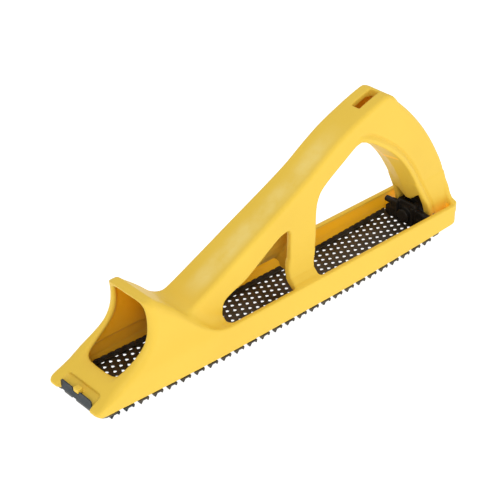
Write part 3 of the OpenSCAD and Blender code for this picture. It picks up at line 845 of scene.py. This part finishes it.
def blend(nodes, links, factor, first, second):
    """Colour between two colours."""
    node = nodes.new("ShaderNodeMix")
    node.data_type = "RGBA"
    links.new(factor, node.inputs[0])
    links.new(first, node.inputs[6])
    links.new(second, node.inputs[7])
    return node.outputs[2]


# Painted glow: the inner walls give off this much light, in place of light passing through the plastic.
GLOW = 0.25  # light that comes through the walls of the translucent moulding


def yellow_plastic():
    """Yellow moulding: rubbed pale on the handle; inside, a painted shade of deeper orange and a painted
    glow.
    """
    material, nodes, links, shader, where = new_material("yellow_moulding")
    cloud = noise(nodes, links, where, 40, 4)
    outside = colours(nodes, links, cloud, [(0.3, (0.82, 0.54, 0.050)), (0.7, (0.86, 0.575, 0.062))])
    # Painted shade: the deeper, saturated orange of the shaded hollows, laid on through the 'inside'
    # attribute.
    painted_shade_orange = colours(nodes, links, cloud, [(0.3, (0.90, 0.44, 0.004)), (0.7, (0.94, 0.47, 0.008))])
    share = nodes.new("ShaderNodeAttribute")
    share.attribute_name = "inside"
    pale = colours(nodes, links, cloud, [(0.3, (0.86, 0.62, 0.13)), (0.7, (0.90, 0.68, 0.19))])
    rubbed = nodes.new("ShaderNodeAttribute")
    rubbed.attribute_name = "rubbed"
    patch = spread(nodes, links, noise(nodes, links, where, 16, 5, 0.6), 0.25, 1, 0.35, 0.6)
    worn = combine(nodes, links, rubbed.outputs["Fac"], patch, "MULTIPLY")
    outside = blend(nodes, links, worn, outside, pale)
    links.new(blend(nodes, links, share.outputs["Fac"], outside, painted_shade_orange), shader.inputs["Base Color"])
    # Painted glow: the walls of the hollows give off orange light.
    painted_glow = nodes.new("ShaderNodeAttribute")
    painted_glow.attribute_name = "painted_glow"
    links.new(spread(nodes, links, painted_glow.outputs["Fac"], 0, GLOW, 0, 1), shader.inputs["Emission Strength"])
    shader.inputs["Emission Color"].default_value = (1, 0.48, 0.01, 1)
    fine = noise(nodes, links, where, 0.7, 2)
    links.new(spread(nodes, links, cloud, 0.44, 0.56), shader.inputs["Roughness"])
    shader.inputs["Specular IOR Level"].default_value = 0.35
    links.new(bump(nodes, links, fine, 0.12, 0.05), shader.inputs["Normal"])
    shader.inputs["IOR"].default_value = 1.5
    return material


def dark_steel():
    """Hardened blade steel: brown-black sheet, blue-grey front tab, lighter sharp edges of worn bare steel
    with a painted glint, and a painted highlight along the front tab's bend.
    """
    material, nodes, links, shader, where = new_material("dark_blade_steel")
    cloud = noise(nodes, links, where, 12, 5)
    sheet = colours(nodes, links, cloud, [(0.3, (0.036, 0.029, 0.020)), (0.7, (0.062, 0.052, 0.036))])
    tab = colours(nodes, links, cloud, [(0.3, (0.006, 0.013, 0.018)), (0.7, (0.012, 0.022, 0.028))])
    split = nodes.new("ShaderNodeSeparateXYZ")
    links.new(where, split.inputs[0])
    front = spread(nodes, links, split.outputs["X"], 1, 0, -MIDDLE_X - HALF_L + 0.4,
                   -MIDDLE_X - HALF_L + 1.6)
    tinted = blend(nodes, links, front, sheet, tab)
    # Sharp edges made lighter: worn bare steel, with a painted glint on it.
    worn = nodes.new("ShaderNodeNewGeometry").outputs["Pointiness"]
    edge = spread(nodes, links, worn, 0, 0.55, 0.58, 0.72)
    scratch = spread(nodes, links, noise(nodes, links, where, 2.2, 4), 0.2, 1)
    # Painted highlight: a bright line along the bend of the front tab.
    bend_z = TOOTH_H + BOW
    above = spread(nodes, links, split.outputs["Z"], 0, 1, bend_z + 0.05, bend_z + 0.3)
    below = spread(nodes, links, split.outputs["Z"], 0.85, 0, bend_z + 0.6, bend_z + 0.95)
    line = combine(nodes, links, combine(nodes, links, above, below, "MULTIPLY"), front, "MULTIPLY")
    bright = combine(nodes, links, combine(nodes, links, edge, scratch, "MULTIPLY"), line, "MAXIMUM")
    glint = colours(nodes, links, cloud, [(0.3, (0.26, 0.24, 0.20)), (0.7, (0.40, 0.37, 0.32))])
    links.new(blend(nodes, links, bright, tinted, glint), shader.inputs["Base Color"])
    shader.inputs["Metallic"].default_value = 0.3
    shader.inputs["Specular IOR Level"].default_value = 0.35
    links.new(spread(nodes, links, cloud, 0.38, 0.54), shader.inputs["Roughness"])
    fine = noise(nodes, links, where, 0.4, 2)
    links.new(bump(nodes, links, fine, 0.15, 0.05), shader.inputs["Normal"])
    return material


def black_plastic():
    """Matt black moulding with a faint grain."""
    material, nodes, links, shader, where = new_material("black_moulding")
    cloud = noise(nodes, links, where, 9, 4)
    links.new(colours(nodes, links, cloud, [(0.3, (0.006, 0.006, 0.006)), (0.7, (0.012, 0.011, 0.010))]),
              shader.inputs["Base Color"])
    links.new(spread(nodes, links, cloud, 0.42, 0.58), shader.inputs["Roughness"])
    shader.inputs["Specular IOR Level"].default_value = 0.3
    links.new(bump(nodes, links, noise(nodes, links, where, 0.5, 2), 0.2, 0.06), shader.inputs["Normal"])
    return material


def dark_zinc():
    """Dull plated steel of the screw, washer and nut."""
    material, nodes, links, shader, where = new_material("plated_steel")
    cloud = noise(nodes, links, where, 3, 5)
    links.new(colours(nodes, links, cloud, [(0.3, (0.16, 0.16, 0.15)), (0.7, (0.30, 0.29, 0.27))]),
              shader.inputs["Base Color"])
    shader.inputs["Metallic"].default_value = 1.0
    links.new(spread(nodes, links, cloud, 0.3, 0.5), shader.inputs["Roughness"])
    return material


def give(piece, material):
    """Only material of a piece."""
    piece.data.materials.clear()
    piece.data.materials.append(material)


# ---------------------------------------------------------------- floor, light and camera

def make_stage():
    """White floor that gives off some light."""
    material, nodes, links, shader, where = new_material("pale_floor")
    cloud = noise(nodes, links, where, 300)
    links.new(colours(nodes, links, cloud, [(0.3, (0.33, 0.33, 0.33)), (0.7, (0.36, 0.36, 0.36))]),
              shader.inputs["Base Color"])
    shader.inputs["Emission Color"].default_value = (1, 1, 1, 1)
    shader.inputs["Emission Strength"].default_value = 0.98
    shader.inputs["Roughness"].default_value = 0.9
    shader.inputs["Specular IOR Level"].default_value = 0.1
    size = 6.0
    mesh = bpy.data.meshes.new("floor")
    corners = [(-size, -size, 0), (size, -size, 0), (size, size, 0), (-size, size, 0)]
    mesh.from_pydata(corners, [], [(0, 1, 2, 3)])
    floor = bpy.data.objects.new("floor", mesh)
    bpy.context.scene.collection.objects.link(floor)
    give(floor, material)


def make_light():
    """Dim white world and three weak area lamps."""
    bpy.context.scene.view_settings.view_transform = "Standard"
    world = bpy.data.worlds.new("studio")
    bpy.context.scene.world = world
    world.use_nodes = True
    background = world.node_tree.nodes["Background"]
    background.inputs["Color"].default_value = (1, 1, 1, 1)
    background.inputs["Strength"].default_value = 0.62
    for name, place, size, power in (("key", (-0.9, -1.1, 0.9), 0.9, 7), ("top", (0.1, 0.2, 1.6), 1.4, 3),
                                     ("fill", (0.9, -0.9, 0.7), 1.0, 3)):
        light = bpy.data.lights.new(name, "AREA")
        light.size = size
        light.energy = power
        lamp = bpy.data.objects.new(name, light)
        lamp.location = place
        lamp.rotation_euler = (-Vector(place)).to_track_quat("-Z", "Y").to_euler()
        bpy.context.scene.collection.objects.link(lamp)


def make_camera():
    """Camera at the place recovered from the photograph."""
    azimuth, elevation, roll = (math.radians(a) for a in (-40.94, 32.75, -1.81))
    distance, lens = 0.74605, 101.1
    target = Vector((-0.01708, 0, 0.04215))
    back = Vector((math.sin(azimuth) * math.cos(elevation), -math.cos(azimuth) * math.cos(elevation),
                   math.sin(elevation)))
    flat_right = (-back).cross(Vector((0, 0, 1))).normalized()
    flat_up = flat_right.cross(-back)
    right = math.cos(roll) * flat_right + math.sin(roll) * flat_up
    up = math.cos(roll) * flat_up - math.sin(roll) * flat_right
    data = bpy.data.cameras.new("camera")
    data.sensor_width = 36
    data.lens = lens
    data.clip_start = 0.01
    camera = bpy.data.objects.new("camera", data)
    turn = Matrix((right, up, back)).transposed().to_4x4()
    camera.matrix_world = Matrix.Translation(target + back * distance) @ turn
    bpy.context.scene.collection.objects.link(camera)
    bpy.context.scene.camera = camera


make_camera()
make_stage()
make_light()
give(make_body(), yellow_plastic())
steel = dark_steel()
give(make_blade(), steel)
give(make_clamp(), black_plastic())
give(make_screw(), dark_zinc())
give(make_washer(), dark_zinc())
give(make_nut(), dark_zinc())
